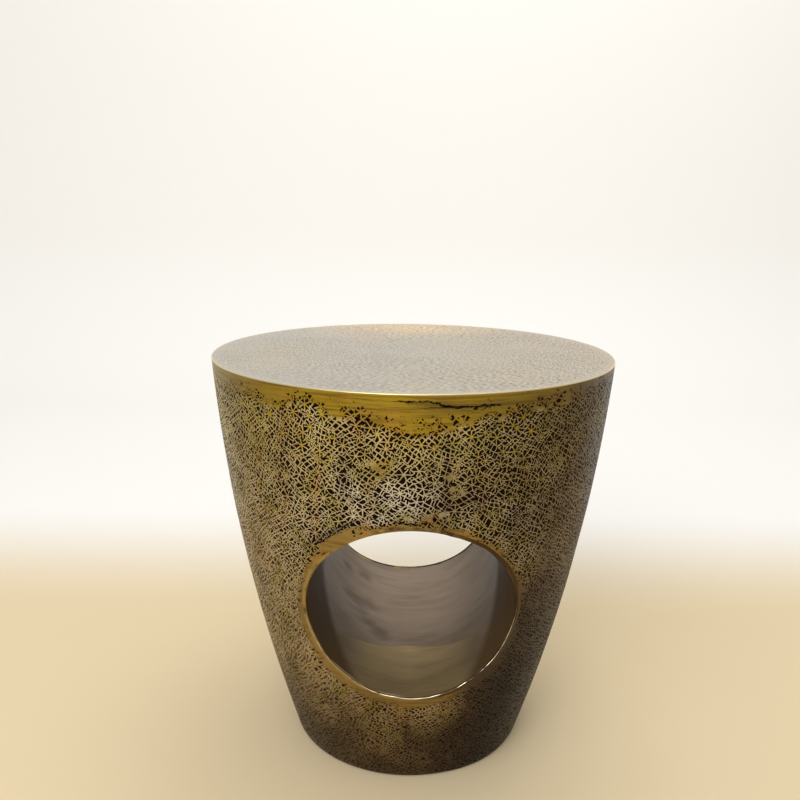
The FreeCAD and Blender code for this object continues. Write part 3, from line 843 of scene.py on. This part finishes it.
# Lips: weld beads around the front and rear openings, ground almost flush and rubbed smooth, so that the
# side turns over into the tunnel. Hand grinding leaves them wavy, with a burnished edge along the bottom
# that carries a painted highlight; painted shade browns them toward the right and darkens a thin line just
# inside.
LIP_COLUMNS = 320
LIP_PROFILE = (
    {"across": 0.0010, "rise": 0.0, "depth": 0.0060},
    {"across": 0.0006, "rise": 0.0, "depth": 0.0040},
    {"across": 0.0002, "rise": 0.0, "depth": 0.0018},
    {"across": 0.0, "rise": 0.0, "depth": 0.0006},
    {"across": 0.0002, "rise": 0.0002, "depth": 0.0},
    {"across": 0.0008, "rise": 0.0005, "depth": 0.0},
    {"across": 0.0018, "rise": 0.0006, "depth": 0.0},
    {"across": 0.0031, "rise": 0.0005, "depth": 0.0},
    {"across": 0.0043, "rise": 0.0002, "depth": 0.0},
    {"across": 0.0050, "rise": -0.0003, "depth": 0.0},
    {"across": 0.0052, "rise": -0.0008, "depth": 0.0},
)
LIP_SHADED_ROW = 2
LIP_SHEEN_ROWS = (3, 4)
LIP_WAVE = 0.0011
LIP_RIPPLE = 0.0005
LEAN_STEP = 0.001
LIP_GOLD = (0.37, 0.265, 0.10)
LIP_BROWN_AND_SHADE = (0.075, 0.044, 0.019)
LIP_HIGHLIGHT_CREAM = (0.95, 0.84, 0.58)
LIP_GAP_SHADE = (0.015, 0.008, 0.004)


def rolled_lip(node, toward):
    """The bead around one opening; toward is -1 for the front and 1 for the rear."""
    turns = np.linspace(0, 2 * math.pi, LIP_COLUMNS, endpoint=False)
    x, levels = oval_ring(turns, 0)
    y = toward * np.sqrt(wall_radius(levels) ** 2 - x ** 2)
    ring = np.stack([x, y, levels], axis=1)
    along = np.roll(ring, -1, axis=0) - np.roll(ring, 1, axis=0)
    along /= np.linalg.norm(along, axis=1)[:, None]
    out_of_wall = np.stack([x, y, 0 * x], axis=1) / np.hypot(x, y)[:, None]
    lean = (wall_radius(levels + LEAN_STEP) - wall_radius(levels - LEAN_STEP)) / (2 * LEAN_STEP)
    out_of_wall[:, 2] = -lean
    out_of_wall /= np.linalg.norm(out_of_wall, axis=1)[:, None]
    away = np.cross(along, out_of_wall) * toward
    away *= np.sign(away[0, 2])
    into_tunnel = np.array([0, -toward, 0])
    breadth = 1 + 0.25 * unevenness(ring, 0.03, 4) + 0.1 * unevenness(ring, 0.009, 5)
    wave = LIP_WAVE * unevenness(ring, 0.03, 10) + LIP_RIPPLE * unevenness(ring, 0.01, 13)
    points = [
        ring
        + away * (breadth * row["across"] + wave)[:, None]
        + out_of_wall * row["rise"]
        + into_tunnel * row["depth"]
        for row in LIP_PROFILE
    ]
    faces = grid_faces(len(LIP_PROFILE), LIP_COLUMNS, closed=True)
    if toward > 0:
        faces = [face[::-1] for face in faces]
    # A painted highlight along the burnished edge, only on the lower half where the light catches it.
    lower_half = smooth_step(-np.cos(turns), -0.1, 0.4)
    rows = range(len(LIP_PROFILE))
    return new_piece(
        node.replace("lip", "rolled_lip"),
        np.concatenate(points),
        faces,
        node,
        fields={
            "worn": np.concatenate([lower_half * (row in LIP_SHEEN_ROWS) for row in rows]),
            "grimy": np.repeat([float(row == LIP_SHADED_ROW) for row in rows], LIP_COLUMNS),
        },
    )


def ground_brass(name, piece):
    """Ground and rubbed brass: gold to one side, browner with painted shade to the other, painted shade
    just inside, a painted highlight on its edge.
    """
    surface = new_finish(name)
    place = surface.piece_place()
    x, _, _ = place.parts()
    patch = place.clouds(0.02, 3).step(0.5, 0.75)
    grain = place.clouds(0.0015, 2)
    edge = surface.field("worn") * place.clouds(0.012, 4).step(0.4, 0.55)
    gap_shadow = surface.field("grimy").step(0.3, 0.8)
    # Browner in patches, and with painted shade toward +x, the right side seen from the front.
    color = (patch + x.step(-0.02, 0.07)).blend(LIP_GOLD, LIP_BROWN_AND_SHADE)
    apply_finish(
        surface,
        piece,
        # Painted shade in the gap row just inside the opening, and a painted highlight on the lower edge.
        Base_Color=edge.blend(gap_shadow.blend(color, LIP_GAP_SHADE), LIP_HIGHLIGHT_CREAM),
        Metallic=1.0,
        Roughness=0.38 + grain * 0.12 - edge * 0.2,
        Normal=grain.bump(0.00006),
    )


for node, toward in (("front_lip", -1), ("rear_lip", 1)):
    ground_brass("ground_brass_" + node, rolled_lip(node, toward))


# Top: a flat disc with a turned-down flange that is welded to the side and ground flush. The disc is finely
# etched in rings, and the corner is rubbed bright.
TOP_COLUMNS = 400
TOP_RING_STEP = 0.006
CORNER_RADIUS = 0.0011
CORNER_STEPS = 6
FLANGE_STEPS = 6
FLANGE_GAP = 0.0001
TOP_UNEVENNESS = 0.0003
FLAT_EDGE = 0.002
TOP_BAND = 0.02
TOP_BAND_SHIFT = 7
TOP_MARK_WIDTH = 0.0016
TOP_MARK_LENGTH = 0.0055
OPEN_SEAM = {"middle_angle": 10, "middle_level": SEAM_LEVEL, "half_angle": 9, "half_height": 0.003}
OPEN_SEAM_HEIGHT = 0.0014
WARM_BACK = 0.19
WARM_HALF_WIDTH = 0.10
WARM_HALF_DEPTH = 0.06
MARK_FADE_RADII = (0.212, 0.226)
RIM_BREADTH = 0.0008
TOP_PALE = (0.50, 0.463, 0.395)
TOP_TAN = (0.59, 0.46, 0.29)
TOP_GREY = (0.12, 0.10, 0.075)
TOP_WARM = (0.86, 0.66, 0.38)
RIM_CREAM = (0.66, 0.55, 0.30)
FLANGE_FINISH = 2

disc_edge = TOP_RADIUS - CORNER_RADIUS
flange_levels = np.linspace(TOP_LEVEL - CORNER_RADIUS, SEAM_LEVEL + FLANGE_GAP, FLANGE_STEPS + 1)[1:]
top_profile = [(radius, TOP_LEVEL) for radius in np.arange(TOP_RING_STEP / 2, disc_edge, TOP_RING_STEP)]
top_profile += [
    (disc_edge + CORNER_RADIUS * math.sin(turn), TOP_LEVEL - CORNER_RADIUS * (1 - math.cos(turn)))
    for turn in np.linspace(0, math.pi / 2, CORNER_STEPS)
]
top_profile += [(float(wall_radius(level)), level) for level in flange_levels]
top_radii, top_levels = np.repeat(np.transpose(top_profile), TOP_COLUMNS + 1, axis=1)
top_angles = np.tile(np.linspace(-math.pi, math.pi, TOP_COLUMNS + 1), len(top_profile))
top_places = np.stack([top_radii * np.sin(top_angles), -top_radii * np.cos(top_angles), top_levels], axis=1)
disc_swell = unevenness(top_places, 0.05, 6) + 0.5 * unevenness(top_places, 0.018, 7)
sag = np.where(top_radii < disc_edge - FLAT_EDGE, TOP_UNEVENNESS * (disc_swell - 0.8), 0)
open_seam = spot(top_angles, top_levels, **OPEN_SEAM) * OPEN_SEAM_HEIGHT
open_seam *= np.maximum(0, 0.4 + 1.4 * unevenness(top_places, 0.006, 8))
top_places[:, 2] += sag + open_seam
from_warm_x = top_places[:, 0] / WARM_HALF_WIDTH
from_warm_y = (top_places[:, 1] - WARM_BACK) / WARM_HALF_DEPTH
top_faces = [(a, d, c, b) for a, b, c, d in grid_faces(len(top_profile), TOP_COLUMNS + 1)]
top_faces.append(tuple(range(TOP_COLUMNS)))
top = new_piece(
    "top",
    top_places,
    top_faces,
    "top_pan",
    flat_pattern(top_angles, top_levels),
    {
        **wear_fields(top_angles, top_levels, top_places),
        "warm": np.exp(-from_warm_x ** 2 - from_warm_y ** 2),
    },
)

ringed = new_finish("top_ringed_brass")
ringed_place = ringed.piece_place()
ringed_x, ringed_y, _ = ringed_place.parts()
ringed_radius = ringed.math("SQRT", ringed_x * ringed_x + ringed_y * ringed_y)
ringed_turn = ringed.math("ARCTAN2", ringed_x, ringed_y)
ringed_band = ringed.math("CEIL", ringed_radius / TOP_BAND)
ringed_dash = ringed.node(
    "ShaderNodeCombineXYZ",
    {},
    {"X": ringed_radius / TOP_MARK_WIDTH, "Y": ringed_turn * ringed_band * (TOP_BAND / TOP_MARK_LENGTH)},
)
ringed_dash = ringed.vector_math("ADD", ringed_dash, ringed_band * TOP_BAND_SHIFT)
ringed_crisp = 0.5 + ringed_place.clouds(0.07, 2).step(0.3, 0.7) * 0.3 + ringed_x.step(-0.2, 0.0) * 0.2
ringed_mark = ringed_dash.clouds(1, 2).step(0.42, 0.64) * ringed_crisp
ringed_mark = ringed_mark * (1 - ringed_radius.step(*MARK_FADE_RADII) * 0.5)
ringed_tan = ringed_place.clouds(0.11, 3).step(0.45, 0.75) * 0.4 + ringed_x.step(-0.1, 0.2) * 0.4
ringed_color = ringed.field("warm").blend(ringed_tan.blend(TOP_PALE, TOP_TAN), TOP_WARM)
ringed_color = (ringed_mark * 0.9).blend(ringed_color, TOP_GREY)
ringed_rim = ringed_radius.step(disc_edge - RIM_BREADTH, disc_edge)
apply_finish(
    ringed,
    top,
    Base_Color=ringed_rim.blend(ringed_color, RIM_CREAM),
    Metallic=1.0,
    Roughness=0.42 + ringed_mark * 0.12 - ringed_rim * 0.14,
    Normal=ringed_mark.bump(-0.0002),
    Coat_Weight=0.4,
    Coat_Roughness=0.3,
)
raw_inside("raw_top_underside", top)
etched_brass("etched_brass_flange", top)
raw_inside("raw_flange_inside", top)
for face in top.data.polygons:
    if face.center.z < TOP_LEVEL - CORNER_RADIUS * 0.9:
        face.material_index = FLANGE_FINISH
give_thickness(top, SHEET_THICKNESS)


# Studio: a plain pale floor that curves up into a plain pale wall, lit by a large soft lamp at the upper
# left, a small one in front, one on the wall and an even light from all around. The camera stands where
# the photograph was taken from.
FLOOR_TONE = (0.75, 0.61, 0.385)
WALL_TONE = (0.93, 0.915, 0.88)
WALL_DISTANCE = 2.2
COVE_RADIUS = 0.5
STUDIO_HALF_WIDTH = 5.0
WALL_HEIGHT = 3.5
STUDIO_FRONT = -5.0
COVE_STEPS = 24
SURROUNDING_LIGHT = 0.6
CAMERA_PLACE = (-0.0142, -1.0079, 0.6356)
CAMERA_PITCH = 12.94
CAMERA_ROLL = 0.74
CAMERA_LENS = 39.68
CAMERA_SENSOR = 36

studio_profile = [(STUDIO_FRONT, 0.0)]
studio_profile += [
    (WALL_DISTANCE - COVE_RADIUS * (1 - math.sin(turn)), COVE_RADIUS * (1 - math.cos(turn)))
    for turn in np.linspace(0, math.pi / 2, COVE_STEPS)
]
studio_profile.append((WALL_DISTANCE, WALL_HEIGHT))
studio_points = [(x, y, z) for y, z in studio_profile for x in (-STUDIO_HALF_WIDTH, STUDIO_HALF_WIDTH)]
studio_mesh = bpy.data.meshes.new("studio")
studio_mesh.from_pydata(studio_points, [], grid_faces(len(studio_profile), 2))
studio_mesh.shade_smooth()
studio = bpy.data.objects.new("studio", studio_mesh)
bpy.context.collection.objects.link(studio)

paper = new_finish("pale_paper")
_, paper_back, _ = paper.piece_place().parts()
apply_finish(
    paper,
    studio,
    Base_Color=paper_back.step(0.25, 0.75).blend(FLOOR_TONE, WALL_TONE),
    Roughness=0.9,
)


def soft_light(name, place, target, size, power):
    """A square lamp that faces a place."""
    lamp = bpy.data.lights.new(name, "AREA")
    lamp.shape = "SQUARE"
    lamp.size = size
    lamp.energy = power
    light = bpy.data.objects.new(name, lamp)
    light.location = place
    light.rotation_euler = (Vector(target) - Vector(place)).to_track_quat("-Z", "Y").to_euler()
    bpy.context.collection.objects.link(light)


soft_light("key_light", place=(-2.0, -3.0, 3.0), target=(0, 0, 0.25), size=3.0, power=52)
soft_light("front_light", place=(-0.3, -1.6, 1.4), target=(-0.1, -0.5, 0), size=1.0, power=11)
soft_light("wall_light", place=(0.4, 0.6, 3.2), target=(0.4, 2.2, 1.2), size=1.6, power=30)

world = bpy.data.worlds.new("studio_air")
world.use_nodes = True
bpy.context.scene.world = world
world.node_tree.nodes["Background"].inputs["Strength"].default_value = SURROUNDING_LIGHT
world.node_tree.nodes["Background"].inputs["Color"].default_value = (1, 1, 1, 1)

camera_data = bpy.data.cameras.new("photo_camera")
camera_data.lens = CAMERA_LENS
camera_data.sensor_width = CAMERA_SENSOR
camera = bpy.data.objects.new("photo_camera", camera_data)
tilt = Matrix.Rotation(math.radians(90 - CAMERA_PITCH), 4, "X")
roll = Matrix.Rotation(math.radians(CAMERA_ROLL), 4, "Z")
camera.matrix_world = Matrix.Translation(CAMERA_PLACE) @ tilt @ roll
bpy.context.collection.objects.link(camera)
bpy.context.scene.camera = camera
bpy.context.scene.view_settings.view_transform = "Standard"
